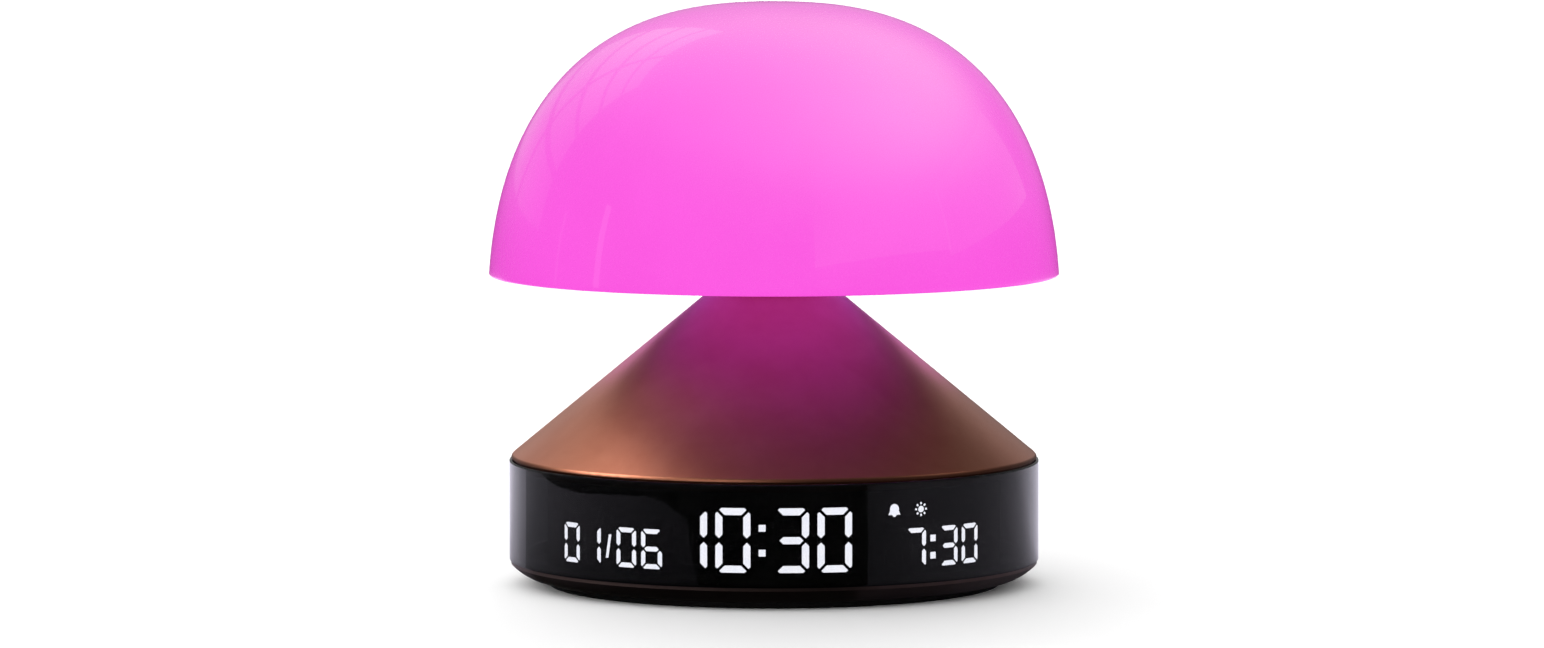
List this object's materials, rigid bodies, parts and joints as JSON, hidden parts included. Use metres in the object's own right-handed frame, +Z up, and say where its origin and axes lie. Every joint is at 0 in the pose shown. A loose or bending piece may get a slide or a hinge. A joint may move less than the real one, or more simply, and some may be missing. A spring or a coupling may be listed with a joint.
{
  "type": "sunrise alarm clock",
  "caption": "Round opal lamp head that presses down on a copper cone, over a drum with a curved smoked display for time, date and alarm, and rear push-buttons.",
  "frame": {"origin": "middle of the foot ring's underside, on the surface the clock stands on", "axes": "+Z up along the body's axis of revolution; the display faces -Y, the buttons and the power socket face +Y, +X is to the right seen from the front"},
  "size_m": [0.141, 0.141, 0.1441],
  "materials": {
    "opal_shade": "opal polycarbonate, smooth, glowing pink from the lights inside",
    "opal_plate": "white opal plastic, satin",
    "copper_cone": "satin copper plating with a fine turned grain on a moulded shell",
    "smoked_window": "smoked acrylic, polished, near black",
    "bronze_base": "dark bronze metallic paint, satin",
    "foot_rubber": "black rubber, fine texture",
    "panel_black": "black plastic, fine spark texture",
    "button_black": "black plastic, satin, with a pale symbol",
    "mask_black": "black light-tight plastic",
    "lit_insert": "white diffusing insert, lit",
    "unlit_insert": "smoked diffusing insert, unlit",
    "board_green": "green glass-fibre board",
    "light_package": "white light package with a clear filling",
    "screw_steel": "zinc-plated steel",
    "spring_steel": "spring steel",
    "aluminium_plate": "plain rolled aluminium",
    "stem_nylon": "white nylon",
    "brass_nut": "plain brass",
    "part_black": "black moulded parts",
    "magnet_grey": "ferrite and plated steel",
    "membrane_paper": "treated paper",
    "gasket_foam": "closed-cell foam",
    "lead_sleeve": "white insulated lead",
    "cell_steel": "polished steel can",
    "socket_steel": "plated steel shell"
  },
  "bodies": {
    "base": {"head_cable": "lead_sleeve", "head_spring": "spring_steel", "neck_bush": "stem_nylon", "bush_nut": "brass_nut", "cone_housing": "copper_cone", "display_window": "smoked_window", "base_shell": "bronze_base", "foot_ring": "foot_rubber", "case_screws": "screw_steel", "display_mask": "mask_black", "time_digits": "lit_insert", "date_digits": "lit_insert", "alarm_digits": "lit_insert", "dark_segments": "unlit_insert", "bell_icon": "lit_insert", "sun_icon": "lit_insert", "display_board": "board_green", "display_chips": "light_package", "display_ribbon": "lead_sleeve", "rear_panel": "panel_black", "button_board": "board_green", "button_switches": "part_black", "button_ribbon": "lead_sleeve", "panel_screws": "screw_steel", "inlet_board": "board_green", "usb_socket": "socket_steel", "inlet_screws": "screw_steel", "main_board": "board_green", "board_screws": "screw_steel", "head_switches": "part_black", "board_parts": "part_black", "power_lead": "lead_sleeve", "cell_holder": "part_black", "backup_cell": "cell_steel", "speaker_gasket": "gasket_foam", "speaker_frame": "screw_steel", "speaker_membrane": "membrane_paper", "speaker_magnet": "magnet_grey", "speaker_screws": "screw_steel", "speaker_lead": "lead_sleeve"},
    "head": {"lampshade": "opal_shade", "shade_underplate": "opal_plate", "head_stem": "stem_nylon", "stem_clip": "spring_steel", "heat_sink": "aluminium_plate", "led_board": "board_green", "shade_lights": "light_package", "head_connector": "part_black", "head_screws": "screw_steel", "led_board_screws": "screw_steel"},
    "clock_key": {"clock_button": "button_black"},
    "alarm_key": {"alarm_button": "button_black"},
    "minus_key": {"minus_button": "button_black"},
    "plus_key": {"plus_button": "button_black"},
    "light_key": {"light_button": "button_black"}
  },
  "joints": [
    {"name": "head_press", "type": "slide", "parent": "base", "child": "head", "axis": [0, 0, -1], "range_m": [0, 0.0012], "stiffness_N_per_m": 1650, "springref_m": -0.0024, "deforming": ["head_spring", "head_cable"]},
    {"name": "clock_press", "type": "slide", "parent": "base", "child": "clock_key", "axis": [0, -1, 0], "range_m": [0, 0.0008], "stiffness_N_per_m": 250, "springref_m": -0.002},
    {"name": "alarm_press", "type": "slide", "parent": "base", "child": "alarm_key", "axis": [0, -1, 0], "range_m": [0, 0.0008], "stiffness_N_per_m": 250, "springref_m": -0.002},
    {"name": "minus_press", "type": "slide", "parent": "base", "child": "minus_key", "axis": [0, -1, 0], "range_m": [0, 0.0008], "stiffness_N_per_m": 250, "springref_m": -0.002},
    {"name": "plus_press", "type": "slide", "parent": "base", "child": "plus_key", "axis": [0, -1, 0], "range_m": [0, 0.0008], "stiffness_N_per_m": 250, "springref_m": -0.002},
    {"name": "light_press", "type": "slide", "parent": "base", "child": "light_key", "axis": [0, -1, 0], "range_m": [0, 0.0008], "stiffness_N_per_m": 250, "springref_m": -0.002}
  ]
}
